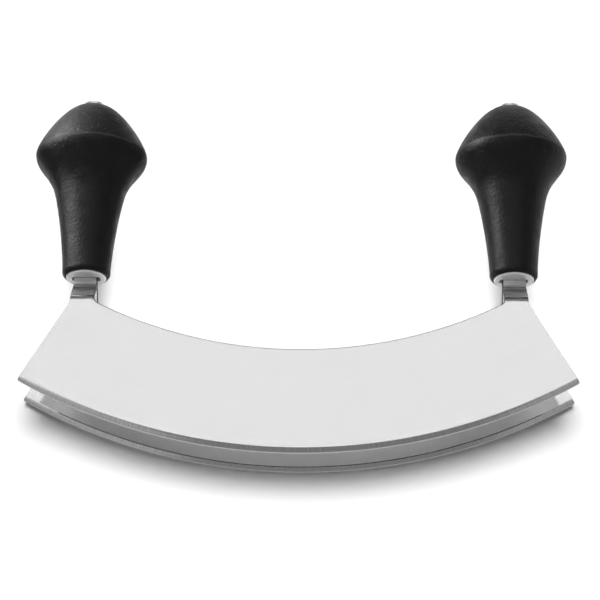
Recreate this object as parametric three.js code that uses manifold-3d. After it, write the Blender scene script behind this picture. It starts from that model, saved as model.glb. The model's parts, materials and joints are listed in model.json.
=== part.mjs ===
// A double mezzaluna, a two-bladed rocking chopper, lying on its side.
// It is built upright, with the blades' lowest point at the origin: x runs along the blades,
// y from the front blade to the rear one, and z up to the handles. The last lines lay it down.
import * as THREE from 'three';
import { mergeVertices } from 'three/addons/utils/BufferGeometryUtils.js';
import Module from 'manifold-3d';

// Blades, in millimetres
const EDGE_RADIUS = 225;
const EDGE_CHORD = 226.6;
const BLADE_HEIGHT = 44.5;
const SPINE_RADIUS = 179;
const BLADE_THICKNESS = 1.5;
const BLADE_SPACING = 23.3;
const BEVEL_HEIGHT = 2.4;
const EDGE_LAND = 0.15;
const TIP_ROUND = 0.9;

// Straps that carry the blades, bent inwards to meet in the handles
const HANDLE_INSET = 24.8;
const STRAP_WIDTH = 9.7;
const STRAP_INNER_FILLET = 2.6;
const STRAP_OUTER_FILLET = 6;
const BEND_SETBACK = 0.3;
const BEND_RADIUS = 3;
const BEND_ANGLE = THREE.MathUtils.degToRad(48);
const STRAIGHT_BELOW_FERRULE = 2.1;

// Ferrules
const FERRULE_DIAMETER = 16.6;
const FERRULE_FLANGE = 1.6;
const FERRULE_PROUD = 0.4;
const FERRULE_CHAMFER = 0.4;
const SPIGOT_LENGTH = 3.5;
const SPIGOT_WALL = 0.8;
const SLOT_END_CLEARANCE = 0.9;

// Grips: heights are above the foot
const GRIP_LENGTH = 78.7;
const FOOT_RIM = 1.4;
const FOOT_ROUND = 2.4;
const NECK_DIAMETER = 28.8;
const NECK_HEIGHT = 37;
const NECK_FLARE = Math.atan(0.225);
const BULB_DIAMETER = 46.8;
const BULB_HEIGHT = 55.8;
const CROWN_RIM = 0.5;
const CROWN_SLOPE = Math.atan(0.22);

// How far each curve of the grip runs on along its end tangents
const STEM_FOOT_PULL = 6.4;
const STEM_NECK_PULL = 11.6;
const FLARE_NECK_PULL = 11;
const FLARE_BULB_PULL = 5.9;
const DOME_BULB_PULL = 2.6;
const DOME_CROWN_PULL = 8.5;

// Tang rods, their pins and the caps that they are peened over
const SHANK_DIAMETER = 5;
const ROD_BRIDGE = 5;
const ROD_END_CHAMFER = 0.5;
const PIN_DIAMETER = 3;
const PIN_HEIGHT = 14;
const PIN_SPACING = 12;
const PIN_CHAMFER = 0.3;
const TANG_ABOVE_PIN = 7;
const CAP_DIAMETER = 8.8;
const CAP_RIM = 1.9;
const CAP_SINK = 0.4;
const CAP_DOME = 0.8;

// Clearance between pieces that seat on each other
const FIT_GAP = 0.3;

// Facets
const GRIP_FACETS = 36;
const ROUND_FACETS = 24;
const EDGE_FACETS = 192;
const OUTLINE_DIVISIONS = 9;
const BEND_STEPS = 6;
const FOOT_STEPS = 3;
const STEM_STEPS = 4;
const FLARE_STEPS = 7;
const DOME_STEPS = 8;
const CAP_STEPS = 5;
// How far a cutting shape runs on past what it cuts
const OVERRUN = 4;

const STEEL = new THREE.MeshStandardMaterial({ color: 0xdcdddd, roughness: 0.22, metalness: 1 });
const BRIGHT_STEEL = new THREE.MeshStandardMaterial({ color: 0xc9cacb, roughness: 0.3, metalness: 1 });
const BLACK_PLASTIC = new THREE.MeshStandardMaterial({ color: 0x1d1d1f, roughness: 0.5, metalness: 0 });

const wasm = await Module();
wasm.setup();

// Sizes that follow from the ones above
const handleX = EDGE_CHORD / 2 - HANDLE_INSET;
const strapInner = handleX - STRAP_WIDTH / 2;
const strapOuter = handleX + STRAP_WIDTH / 2;
const tipAngle = Math.asin(EDGE_CHORD / 2 / EDGE_RADIUS);
const spineCentre = BLADE_HEIGHT + SPINE_RADIUS;

// The straps lie back to back, one thickness each, on either side of the handle's axis.
const bladePlane = BLADE_SPACING / 2;
const strapPlane = (BLADE_THICKNESS + FIT_GAP) / 2;
const bendStart = spineCentre - Math.sqrt(SPINE_RADIUS ** 2 - strapInner ** 2) + BEND_SETBACK;
const bendShift = bladePlane - strapPlane;
const bendFlat = (bendShift - 2 * BEND_RADIUS * (1 - Math.cos(BEND_ANGLE))) / Math.sin(BEND_ANGLE);
const bendRise = 2 * BEND_RADIUS * Math.sin(BEND_ANGLE) + bendFlat * Math.cos(BEND_ANGLE);
const footZ = bendStart + bendRise + STRAIGHT_BELOW_FERRULE + FERRULE_PROUD;

// The stack inside a handle, measured up from the grip's foot
const pinHeights = [PIN_HEIGHT, PIN_HEIGHT + PIN_SPACING];
const tangTop = PIN_HEIGHT + PIN_SPACING + TANG_ABOVE_PIN;
const flangeTop = FERRULE_FLANGE - FERRULE_PROUD;
const spigotTop = flangeTop + SPIGOT_LENGTH;
const rodShoulder = tangTop + FIT_GAP + ROD_BRIDGE;
const capSeat = GRIP_LENGTH - CAP_SINK;
const rodTop = capSeat + CAP_RIM + CAP_DOME;

// Sizes of what fits round the pair of straps
const strapPair = 2 * BLADE_THICKNESS + FIT_GAP;
const slotWidth = strapPair + 2 * FIT_GAP;
const slotLength = STRAP_WIDTH + 2 * SLOT_END_CLEARANCE;
const rodRadius = Math.hypot(STRAP_WIDTH / 2, strapPair / 2);
const spigotRadius = Math.hypot(slotLength / 2, slotWidth / 2) + SPIGOT_WALL;
const shankRadius = SHANK_DIAMETER / 2;
const capRadius = CAP_DIAMETER / 2;
const pinRadius = PIN_DIAMETER / 2;
const flangeSeat = FERRULE_DIAMETER / 2 + FIT_GAP;

// A closed geometry as a solid that can be cut and joined.
function solid(geometry) {
  const bare = geometry.clone();
  bare.deleteAttribute('normal');
  bare.deleteAttribute('uv');
  const merged = mergeVertices(bare);
  const triangles = [];
  for (let i = 0; i < merged.index.count; i += 3) {
    const [a, b, c] = merged.index.array.slice(i, i + 3);
    if (a !== b && b !== c && c !== a) triangles.push(a, b, c);
  }
  return new wasm.Manifold(new wasm.Mesh({
    numProp: 3,
    vertProperties: new Float32Array(merged.attributes.position.array),
    triVerts: new Uint32Array(triangles),
  }));
}

// A named piece of the knife from a finished solid.
function piece(name, body, material) {
  const { vertProperties, triVerts } = body.getMesh();
  const geometry = new THREE.BufferGeometry();
  geometry.setAttribute('position', new THREE.BufferAttribute(vertProperties, 3));
  geometry.setIndex(new THREE.BufferAttribute(triVerts, 1));
  geometry.computeVertexNormals();
  const mesh = new THREE.Mesh(geometry, material);
  mesh.name = name;
  return mesh;
}

// A profile of [radius, height] points turned about the z axis.
function revolve(profile, facets) {
  const points = profile.map(([radius, height]) => new THREE.Vector2(radius, height));
  return solid(new THREE.LatheGeometry(points, facets).rotateX(Math.PI / 2));
}

// A round bar along y, for pins and the holes that they go through.
function crossBar(radius, length, x, z) {
  return solid(new THREE.CylinderGeometry(radius, radius, length, ROUND_FACETS).translate(x, 0, z));
}

// The slot that the two straps go through, between two heights.
function strapSlot(length, bottom, top) {
  const box = new THREE.BoxGeometry(length, slotWidth, top - bottom);
  return solid(box.translate(0, 0, (bottom + top) / 2));
}

// The blade seen from the front: a crescent with radial ends, and a strap rising from each end.
// The grinding cuts the edge itself, so between the rounded tips the outline runs on past it.
function bladeOutline() {
  const cutRadius = EDGE_RADIUS + OVERRUN;
  const tangEnd = footZ + tangTop;

  // The tip's round touches the radial end and the edge.
  const roundRadius = EDGE_RADIUS - TIP_ROUND;
  const roundAngle = tipAngle - Math.asin(TIP_ROUND / roundRadius);
  const roundX = roundRadius * Math.sin(roundAngle);
  const roundZ = EDGE_RADIUS - roundRadius * Math.cos(roundAngle);
  const edgeEnd = roundAngle - Math.PI / 2;

  // The outer fillet touches the radial end and the strap, the inner one the strap and the spine.
  const outerCorner = EDGE_RADIUS - strapOuter / Math.tan(tipAngle);
  const outerZ = outerCorner + STRAP_OUTER_FILLET * Math.tan(tipAngle / 2);
  const outerX = strapOuter + STRAP_OUTER_FILLET;
  const innerX = strapInner - STRAP_INNER_FILLET;
  const innerZ = spineCentre - Math.sqrt((SPINE_RADIUS - STRAP_INNER_FILLET) ** 2 - innerX ** 2);
  const spineEnd = Math.atan2(innerZ - spineCentre, innerX);

  const outline = new THREE.Shape();
  outline.absarc(roundX, roundZ, TIP_ROUND, edgeEnd, tipAngle, false);
  outline.absarc(outerX, outerZ, STRAP_OUTER_FILLET, Math.PI + tipAngle, Math.PI, true);
  outline.lineTo(strapOuter, tangEnd);
  outline.lineTo(strapInner, tangEnd);
  outline.absarc(innerX, innerZ, STRAP_INNER_FILLET, 0, spineEnd, true);
  outline.absarc(0, spineCentre, SPINE_RADIUS, spineEnd, -Math.PI - spineEnd, true);
  outline.absarc(-innerX, innerZ, STRAP_INNER_FILLET, -Math.PI - spineEnd, -Math.PI, true);
  outline.lineTo(-strapInner, tangEnd);
  outline.lineTo(-strapOuter, tangEnd);
  outline.absarc(-outerX, outerZ, STRAP_OUTER_FILLET, 0, -tipAngle, true);
  outline.absarc(-roundX, roundZ, TIP_ROUND, Math.PI - tipAngle, Math.PI - edgeEnd, false);
  outline.absarc(0, EDGE_RADIUS, cutRadius, -Math.PI - edgeEnd, edgeEnd, false);
  return outline;
}

// The sheet seen from its end: flat blade, two opposite bends that carry the strap inwards, flat tang.
// Each station holds the middle of the sheet and its lean from upright.
function sheetSection() {
  const stations = [[-bladePlane, -OVERRUN, 0]];
  for (let i = 0; i <= BEND_STEPS; i += 1) {
    const lean = BEND_ANGLE * i / BEND_STEPS;
    const y = -bladePlane + BEND_RADIUS * (1 - Math.cos(lean));
    stations.push([y, bendStart + BEND_RADIUS * Math.sin(lean), lean]);
  }
  for (let i = BEND_STEPS; i >= 0; i -= 1) {
    const lean = BEND_ANGLE * i / BEND_STEPS;
    const y = -strapPlane - BEND_RADIUS * (1 - Math.cos(lean));
    stations.push([y, bendStart + bendRise - BEND_RADIUS * Math.sin(lean), lean]);
  }
  stations.push([-strapPlane, footZ + tangTop + OVERRUN, 0]);

  const side = (offset) => stations.map(([y, z, lean]) => new THREE.Vector2(
    y + offset * Math.cos(lean),
    z - offset * Math.sin(lean),
  ));
  const inner = side(BLADE_THICKNESS / 2);
  const outer = side(-BLADE_THICKNESS / 2);
  return new THREE.Shape([...inner, ...outer.reverse()]);
}

// A disc about the edge's centre whose rim is ground from both sides to the cutting edge.
// Inside the ground rim it is thick enough to hold the bent straps.
function groundDisc() {
  const halfLand = EDGE_LAND / 2;
  const grindSlope = (BLADE_THICKNESS / 2 - halfLand) / BEVEL_HEIGHT;
  const rimDepth = BEVEL_HEIGHT + OVERRUN;
  const rimHalf = halfLand + rimDepth * grindSlope;
  const inner = EDGE_RADIUS - rimDepth;
  const profile = [
    [0, -BLADE_SPACING],
    [inner, -BLADE_SPACING],
    [inner, -rimHalf],
    [EDGE_RADIUS, -halfLand],
    [EDGE_RADIUS, halfLand],
    [inner, rimHalf],
    [inner, BLADE_SPACING],
    [0, BLADE_SPACING],
  ];
  const points = profile.map(([radius, y]) => new THREE.Vector2(radius, y));
  const disc = new THREE.LatheGeometry(points, EDGE_FACETS);
  return solid(disc.translate(0, -bladePlane, EDGE_RADIUS));
}

// The front blade: the bent sheet, trimmed to the outline, ground, and drilled for the pins.
function bladeBody() {
  const sheetWidth = EDGE_CHORD + 2 * OVERRUN;
  const sheet = new THREE.ExtrudeGeometry(sheetSection(), { depth: sheetWidth, bevelEnabled: false });
  const alongX = new THREE.Matrix4().makeBasis(
    new THREE.Vector3(0, 1, 0),
    new THREE.Vector3(0, 0, 1),
    new THREE.Vector3(1, 0, 0),
  );
  sheet.applyMatrix4(alongX).translate(-sheetWidth / 2, 0, 0);

  const outlineDepth = 2 * BLADE_SPACING;
  const outline = new THREE.ExtrudeGeometry(bladeOutline(), {
    depth: outlineDepth,
    bevelEnabled: false,
    curveSegments: OUTLINE_DIVISIONS,
  });
  outline.rotateX(Math.PI / 2).translate(0, outlineDepth / 2, 0);

  let body = solid(sheet).intersect(solid(outline)).intersect(groundDisc());
  for (const x of [-handleX, handleX]) {
    for (const height of pinHeights) {
      body = body.subtract(crossBar(pinRadius + FIT_GAP, BLADE_SPACING, x, footZ + height));
    }
  }
  return body;
}

// The ferrule: a flange set into the grip's foot, a spigot above it, and the slot for the straps.
function ferruleBody() {
  const radius = FERRULE_DIAMETER / 2;
  const turned = revolve([
    [0, -FERRULE_PROUD],
    [radius - FERRULE_CHAMFER, -FERRULE_PROUD],
    [radius, -FERRULE_PROUD + FERRULE_CHAMFER],
    [radius, flangeTop],
    [spigotRadius, flangeTop],
    [spigotRadius, spigotTop],
    [0, spigotTop],
  ], GRIP_FACETS);
  return turned.subtract(strapSlot(slotLength, -FERRULE_PROUD - OVERRUN, spigotTop + OVERRUN));
}

// Points of a curve that leaves and reaches its ends along given directions (lean from upright).
function curveBetween(start, startLean, startPull, end, endLean, endPull, divisions) {
  const toward = (lean, pull) => new THREE.Vector2(Math.sin(lean), Math.cos(lean)).multiplyScalar(pull);
  const curve = new THREE.CubicBezierCurve(
    start,
    start.clone().add(toward(startLean, startPull)),
    end.clone().sub(toward(endLean, endPull)),
    end,
  );
  return curve.getPoints(divisions).map((point) => [point.x, point.y]);
}

// The outside of the grip from foot to crown: rounded foot, stem, flare to the bulb, and domed top.
// A round wider than the foot's rim starts part of the way up, on the flange's seat.
function gripOutside() {
  const footRadius = flangeSeat + FOOT_RIM;
  const crownRadius = capRadius + FIT_GAP + CROWN_RIM;
  const stemStart = new THREE.Vector2(footRadius, FOOT_ROUND);
  const neck = new THREE.Vector2(NECK_DIAMETER / 2, NECK_HEIGHT);
  const bulb = new THREE.Vector2(BULB_DIAMETER / 2, BULB_HEIGHT);
  const crown = new THREE.Vector2(crownRadius, GRIP_LENGTH);
  const crownLean = -Math.PI / 2 + CROWN_SLOPE;

  const footMiddle = footRadius - FOOT_ROUND;
  const footStart = Math.asin(Math.max(0, flangeSeat - footMiddle) / FOOT_ROUND) - Math.PI / 2;
  const foot = new THREE.EllipseCurve(footMiddle, FOOT_ROUND, FOOT_ROUND, FOOT_ROUND, footStart, 0);
  return [
    ...foot.getPoints(FOOT_STEPS).map((point) => [point.x, point.y]),
    ...curveBetween(stemStart, 0, STEM_FOOT_PULL, neck, NECK_FLARE, STEM_NECK_PULL, STEM_STEPS).slice(1),
    ...curveBetween(neck, NECK_FLARE, FLARE_NECK_PULL, bulb, 0, FLARE_BULB_PULL, FLARE_STEPS).slice(1),
    ...curveBetween(bulb, 0, DOME_BULB_PULL, crown, crownLean, DOME_CROWN_PULL, DOME_STEPS).slice(1),
  ];
}

// The grip: its outside, and inside the seats for cap, shank, rod, spigot and flange.
function gripBody() {
  const capBore = capRadius + FIT_GAP;
  const shankBore = shankRadius + FIT_GAP;
  const rodBore = rodRadius + FIT_GAP;
  const spigotBore = spigotRadius + FIT_GAP;
  const outside = gripOutside();
  return revolve([
    ...outside,
    [capBore, GRIP_LENGTH],
    [capBore, capSeat - FIT_GAP],
    [shankBore, capSeat - FIT_GAP],
    [shankBore, rodShoulder + FIT_GAP],
    [rodBore, rodShoulder + FIT_GAP],
    [rodBore, spigotTop + FIT_GAP],
    [spigotBore, spigotTop + FIT_GAP],
    [spigotBore, flangeTop + FIT_GAP],
    [flangeSeat, flangeTop + FIT_GAP],
    [flangeSeat, outside[0][1]],
    outside[0],
  ], GRIP_FACETS);
}

// The tang rod: a body slotted over the straps, a shank through the grip, and an end in the cap.
function rodBody() {
  const rodFoot = spigotTop + FIT_GAP;
  const turned = revolve([
    [0, rodFoot],
    [rodRadius, rodFoot],
    [rodRadius, rodShoulder],
    [shankRadius, rodShoulder],
    [shankRadius, rodTop - ROD_END_CHAMFER],
    [shankRadius - ROD_END_CHAMFER, rodTop],
    [0, rodTop],
  ], ROUND_FACETS);
  let body = turned.subtract(strapSlot(2 * rodRadius + OVERRUN, rodFoot - OVERRUN, tangTop + FIT_GAP));
  for (const height of pinHeights) {
    body = body.subtract(crossBar(pinRadius + FIT_GAP, 2 * rodRadius + OVERRUN, 0, height));
  }
  return body;
}

// A cross pin, as long as the rod is thick where the pin's edge comes out of it.
function pinBody() {
  const half = Math.sqrt(rodRadius ** 2 - pinRadius ** 2);
  const points = [
    [0, -half],
    [pinRadius - PIN_CHAMFER, -half],
    [pinRadius, -half + PIN_CHAMFER],
    [pinRadius, half - PIN_CHAMFER],
    [pinRadius - PIN_CHAMFER, half],
    [0, half],
  ].map(([radius, y]) => new THREE.Vector2(radius, y));
  return solid(new THREE.LatheGeometry(points, ROUND_FACETS));
}

// The crown cap: a domed washer that the rod's end is peened into.
function capBody() {
  const bore = shankRadius + FIT_GAP;
  const rimTop = capSeat + CAP_RIM;
  const dome = new THREE.QuadraticBezierCurve(
    new THREE.Vector2(capRadius, rimTop),
    new THREE.Vector2((capRadius + bore) / 2, rimTop + CAP_DOME),
    new THREE.Vector2(bore, rimTop + CAP_DOME),
  );
  return revolve([
    [capRadius, capSeat],
    ...dome.getPoints(CAP_STEPS).map((point) => [point.x, point.y]),
    [bore, capSeat],
    [capRadius, capSeat],
  ], ROUND_FACETS);
}

// One handle, upright on the origin, with its pieces named for its side.
function handle(side) {
  const group = new THREE.Group();
  group.add(piece(`${side}_ferrule`, ferruleBody(), BRIGHT_STEEL));
  group.add(piece(`${side}_grip`, gripBody(), BLACK_PLASTIC));
  group.add(piece(`${side}_tang_rod`, rodBody(), BRIGHT_STEEL));
  group.add(piece(`${side}_crown_cap`, capBody(), BRIGHT_STEEL));
  ['lower', 'upper'].forEach((level, i) => {
    const pin = piece(`${side}_${level}_pin`, pinBody(), BRIGHT_STEEL);
    pin.position.z = pinHeights[i];
    group.add(pin);
  });
  return group;
}

// The lean at which the rear blade's ground corner and both bulbs lie on one surface.
function restingLean() {
  const corner = new THREE.Vector2((BLADE_SPACING + BLADE_THICKNESS) / 2, BEVEL_HEIGHT);
  const leans = gripOutside().map(([radius, height]) => (
    Math.atan2(radius - corner.x, footZ + height - corner.y)
  ));
  return Math.max(...leans);
}

const knife = new THREE.Group();
const blade = bladeBody();
const frontBlade = piece('front_blade', blade, STEEL);
const rearBlade = piece('rear_blade', blade, STEEL);
rearBlade.rotation.z = Math.PI;
knife.add(frontBlade, rearBlade);
for (const [side, x] of [['left', -handleX], ['right', handleX]]) {
  const sideHandle = handle(side);
  sideHandle.position.set(x, 0, footZ);
  knife.add(sideHandle);
}

// Laid on its rear side, with the front blade up and the handles towards +y.
// The origin is the middle of the underside of its box.
knife.rotation.x = restingLean() - Math.PI / 2;
const box = new THREE.Box3().setFromObject(knife, true);
const middle = box.getCenter(new THREE.Vector3());
knife.position.set(-middle.x, -middle.y, -box.min.z);

const part = new THREE.Group();
part.add(knife);

export default part;
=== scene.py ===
# %% [markdown]
# # A double mezzaluna
# A double mezzaluna is a herb chopper with two crescent blades side by side. The straps at the ends of the
# blades bend towards each other and meet in two knobs, and the cook rocks the knife from one to the other.
# This lesson dresses a measured model of one. The model's sizes stay as they are, and each step adds a fine
# surface, a finish, the light or the camera. A few words come first, then a short cell of code.

# %% Load the measured model
import json
import math

import bpy
import numpy as np
from mathutils import Matrix, Vector


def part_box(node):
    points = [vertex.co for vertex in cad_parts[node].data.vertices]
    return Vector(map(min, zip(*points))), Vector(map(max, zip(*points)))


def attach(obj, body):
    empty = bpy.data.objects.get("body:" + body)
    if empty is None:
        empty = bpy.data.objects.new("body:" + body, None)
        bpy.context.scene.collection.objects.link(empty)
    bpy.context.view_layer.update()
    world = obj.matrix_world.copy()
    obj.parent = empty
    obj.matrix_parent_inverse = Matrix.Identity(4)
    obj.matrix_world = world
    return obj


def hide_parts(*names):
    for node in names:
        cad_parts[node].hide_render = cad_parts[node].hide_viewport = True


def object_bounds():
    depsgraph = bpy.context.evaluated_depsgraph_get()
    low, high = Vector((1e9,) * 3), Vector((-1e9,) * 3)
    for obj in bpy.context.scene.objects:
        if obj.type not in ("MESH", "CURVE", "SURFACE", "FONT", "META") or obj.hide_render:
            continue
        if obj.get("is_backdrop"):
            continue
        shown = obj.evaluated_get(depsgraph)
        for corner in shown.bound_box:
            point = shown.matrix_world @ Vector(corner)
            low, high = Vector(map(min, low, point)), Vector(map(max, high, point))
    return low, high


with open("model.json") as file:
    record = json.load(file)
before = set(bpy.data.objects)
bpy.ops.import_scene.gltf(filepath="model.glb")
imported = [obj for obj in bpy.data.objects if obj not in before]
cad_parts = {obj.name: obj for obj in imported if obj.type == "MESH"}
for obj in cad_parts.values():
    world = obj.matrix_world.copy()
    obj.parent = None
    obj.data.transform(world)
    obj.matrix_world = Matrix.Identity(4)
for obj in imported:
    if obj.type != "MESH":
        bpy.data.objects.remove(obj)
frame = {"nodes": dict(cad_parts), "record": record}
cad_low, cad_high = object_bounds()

cad_size = [round(side, 4) for side in cad_high - cad_low]
print("model:", len(frame["nodes"]), "pieces, size in metres", cad_size)

# %% [markdown]
# ## The knife's own axes
# On the table the knife leans a few degrees, because it lies on its rear blade and on both knobs. It is
# easier to shape it standing up: x runs along the blades, y from the front blade to the rear one and z from
# the cutting edges up to the handles, in millimetres, with zero at the lowest point of the edges.
# The lean could be written down as an angle. The model's record already holds a point on the front blade's
# face and the direction that the face looks in, so the three axes are worked out from those instead.

# %% The knife's own axes
MILLIMETRE = 0.001
BLADE_THICKNESS = 1.5
BLADE_SPACING = 23.3
FACE_POINT_HEIGHT = 25.0

mounts = {mount["name"]: mount for mount in frame["record"]["mounts"]}
face_mount = mounts["front_blade_face"]
along_blades = np.array([1.0, 0.0, 0.0])
to_rear = -np.array(face_mount["axis"])
KNIFE_AXES = np.stack([along_blades, to_rear, np.cross(along_blades, to_rear)])
face_point = np.array([0.0, -(BLADE_SPACING + BLADE_THICKNESS) / 2, FACE_POINT_HEIGHT])
KNIFE_ORIGIN = np.array(face_mount["pos_m"]) - MILLIMETRE * face_point @ KNIFE_AXES


def to_frame(points):
    """Knife millimetres to the frame's metres: the origin plus each coordinate times its axis."""
    return KNIFE_ORIGIN + MILLIMETRE * points @ KNIFE_AXES


print("the knife leans", round(math.degrees(math.asin(to_rear[1])), 2), "degrees")

# %% [markdown]
# ## Camera
# The picture was taken with a long lens from about a metre away, a little below square to the blade's
# face, so that both cutting edges show. A long lens keeps the two handles nearly parallel.
# Blender's camera looks along its own -Z with +Y up. Its matrix could be found with a Track To constraint.
# Here the right, up and backward directions are the matrix's columns, which leaves nothing to be solved.

# %% Camera
CAMERA_DISTANCE = 1045.4
CAMERA_AIM = np.array([0.2, 0.0, 71.2])
CAMERA_DROP = math.radians(22.94)
CAMERA_SWING = math.radians(0.81)
CAMERA_ROLL = math.radians(-0.63)
PICTURE_PIXELS = 600
FOCAL_PIXELS = 2535
SENSOR_WIDTH = 36.0

swing = np.array(Matrix.Rotation(CAMERA_SWING, 3, "Z"))
look = swing @ [0.0, math.cos(CAMERA_DROP), math.sin(CAMERA_DROP)]
level = swing @ [1.0, 0.0, 0.0]
rise = np.cross(level, look)
right = math.cos(CAMERA_ROLL) * level - math.sin(CAMERA_ROLL) * rise
upward = math.cos(CAMERA_ROLL) * rise + math.sin(CAMERA_ROLL) * level

camera_matrix = np.eye(4)
camera_matrix[:3, :3] = (np.stack([right, upward, -look]) @ KNIFE_AXES).T
camera_matrix[:3, 3] = to_frame(CAMERA_AIM - CAMERA_DISTANCE * look)
camera = bpy.data.objects.new("camera", bpy.data.cameras.new("camera"))
camera.data.sensor_width = SENSOR_WIDTH
camera.data.lens = SENSOR_WIDTH * FOCAL_PIXELS / PICTURE_PIXELS
camera.matrix_world = Matrix(camera_matrix.tolist())
scene = bpy.context.scene
scene.collection.objects.link(camera)
scene.camera = camera
print("lens", round(camera.data.lens, 1), "mm at", [round(place, 3) for place in camera.location])

# %% [markdown]
# ## Nodes and colours
# Every finish below is a small tree of shader nodes. One helper adds a node, sets its properties and fills
# its sockets, by a link where it is given another node's output and by a plain value otherwise.
# Colours are written as on a paint chart, in sRGB hex. Shaders add and multiply light, so they want linear
# values, and one function turns the first into the second.

# %% Nodes and colours
SRGB_TOE = 0.04045


def linear(hex_colour):
    """An sRGB hex colour as linear RGBA: c / 12.92 in the toe, ((c + 0.055) / 1.055) ** 2.4 above it."""
    coded = np.array([int(hex_colour[place:place + 2], 16) for place in (1, 3, 5)]) / 255
    light = np.where(coded <= SRGB_TOE, coded / 12.92, ((coded + 0.055) / 1.055) ** 2.4)
    return (*light.tolist(), 1.0)


def add_node(tree, kind, sockets=None, **settings):
    """Adds one node. A socket given another node's output is linked; any other value is stored in it."""
    node = tree.nodes.new(kind)
    for name, value in settings.items():
        setattr(node, name, value)
    for name, value in (sockets or {}).items():
        if isinstance(value, bpy.types.NodeSocket):
            tree.links.new(value, node.inputs[name])
        else:
            node.inputs[name].default_value = value
    return node


def start_material(name):
    """A new material with its tree, which is empty."""
    material = bpy.data.materials.new(name)
    material.use_nodes = True
    material.node_tree.nodes.clear()
    return material, material.node_tree


WHITE = linear("#FFFFFF")
print("mid grey #808080 in linear light:", round(linear("#808080")[0], 3))

# %% [markdown]
# ## Studio
# Polished steel has hardly a colour of its own: it shows the room. This room is dim and even, and lighter on
# the side of the cutting edges, which the faces mirror when they are looked at from behind the handles.
# A room can also light a scene softly from all round. This one gives no diffuse light, only reflections, so
# that the light and the shadow on the floor come from the lamps alone.
# Between the two blades light goes back and forth many times before it gets out, so the paths may be longer
# than Blender lets them be by default. Without that the gap between the blades would be black.

# %% Studio
ROOM_STRENGTH = 0.22
FRONT_STRENGTH = 0.65
# The Y of a direction of length 1 where the lighter side starts and where it is full
FRONT_STARTS = -0.25
FRONT_FULL = -0.95
LIGHT_BOUNCES = 16

scene.view_settings.view_transform = "Standard"
scene.cycles.max_bounces = LIGHT_BOUNCES
scene.cycles.glossy_bounces = LIGHT_BOUNCES
scene.world = bpy.data.worlds.new("dim_studio")
scene.world.use_nodes = True
scene.world.cycles_visibility.diffuse = False
sky = scene.world.node_tree
sky.nodes.clear()
direction = add_node(sky, "ShaderNodeTexCoord").outputs["Generated"]
heading = add_node(sky, "ShaderNodeSeparateXYZ", {0: direction})
strength = add_node(sky, "ShaderNodeMapRange", {
    "Value": heading.outputs["Y"], "From Min": FRONT_STARTS, "From Max": FRONT_FULL,
    "To Min": ROOM_STRENGTH, "To Max": FRONT_STRENGTH}, interpolation_type="SMOOTHSTEP")
background = add_node(sky, "ShaderNodeBackground", {"Strength": strength.outputs[0], "Color": WHITE})
add_node(sky, "ShaderNodeOutputWorld", {"Surface": background.outputs[0]})
print("studio:", len(sky.nodes), "nodes")

# %% [markdown]
# ## Lamps
# Five lamps do the rest. A wide softbox hangs above and behind the knife, just where the flat faces mirror it
# towards the camera, so they are nearly white while the ground edges, which lean away from it, stay grey.
# Two small ones in front lighten the ends of those edges. One at the left, low and close, draws the long
# soft highlight on the black knobs; it is for gloss alone, so it gives no diffuse light.
# A bank nearly overhead throws the short shadow in front of the blades. It could be a huge softbox. As a sun
# of a wide angle it is the same everywhere on the floor, and mirrors don't show it.
# A lamp's brightness in a mirror is its radiance, so that is what is written here. A flat lamp that
# sends out its power evenly has power = pi x radiance x area. White paper under the bank alone has the
# bank's radiance, which takes a sun of pi times that strength.

# %% Lamps
# Each softbox's place and aim, its width and length, in metres, and its radiance
SOFTBOXES = {
    "softbox_above": ((-0.05, 0.24, 1.06), (-0.05, 0.23, 0.0), (1.3, 0.82), 0.76),
    "softbox_front_left": ((-0.43, -0.28, 1.06), (-0.33, -0.2, 0.0), (0.4, 0.25), 0.2),
    "softbox_front_right": ((0.5, -0.25, 1.06), (0.4, -0.2, 0.0), (0.3, 0.2), 0.15),
    "softbox_left": ((-0.3, 0.195, 0.15), (-0.088, 0.04, 0.03), (0.34, 0.28), 13.0)}
PANEL_TURN = math.radians(3)
BANK_PLACE = (0.0, 0.24, 1.0)
BANK_AIM = (0.0, 0.0, 0.0)
BANK_ANGLE = math.radians(33)
BANK_RADIANCE = 0.95


def hang(name, kind, place, aim):
    """A lamp of a kind at a place, turned towards an aim, both in metres. The camera doesn't see it."""
    lamp = bpy.data.objects.new(name, bpy.data.lights.new(name, kind))
    turn = (Vector(aim) - Vector(place)).to_track_quat("-Z", "Y")
    lamp.matrix_world = Matrix.Translation(place) @ turn.to_matrix().to_4x4()
    lamp.visible_camera = False
    scene.collection.objects.link(lamp)
    return lamp


def softbox(name, place, aim, size, radiance):
    """A rectangular lamp of a width and length in metres that a mirror shows at the given radiance."""
    lamp = hang(name, "AREA", place, aim)
    lamp.data.shape = "RECTANGLE"
    lamp.data.size, lamp.data.size_y = size
    lamp.data.energy = math.pi * radiance * size[0] * size[1]
    return lamp


softboxes = {name: softbox(name, *setting) for name, setting in SOFTBOXES.items()}
panel = softboxes["softbox_above"]
panel.rotation_euler.rotate_axis("Z", PANEL_TURN)
rim_light = softboxes["softbox_left"]
rim_light.visible_diffuse = False
bank = hang("overhead_bank", "SUN", BANK_PLACE, BANK_AIM)
bank.data.angle = BANK_ANGLE
bank.data.energy = math.pi * BANK_RADIANCE
bank.visible_glossy = False
print("lamps:", len(bpy.data.lights))

# %% [markdown]
# ## Floor
# The knife lies on a white sweep that runs out of the picture. White paper under soft light is a little grey,
# so part of its white is a glow that only the camera and mirrors see. The rest is ordinary reflected
# light, and that is the part which the knife's shadow takes away.

# %% Floor
FLOOR_REACH = 4.0
# A hair under the knife, so that the floor and what lies on it share no plane
FLOOR_DROP = 0.00005
FLOOR_PAPER = "#F4F4F4"
FLOOR_GLOW = 0.08


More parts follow.
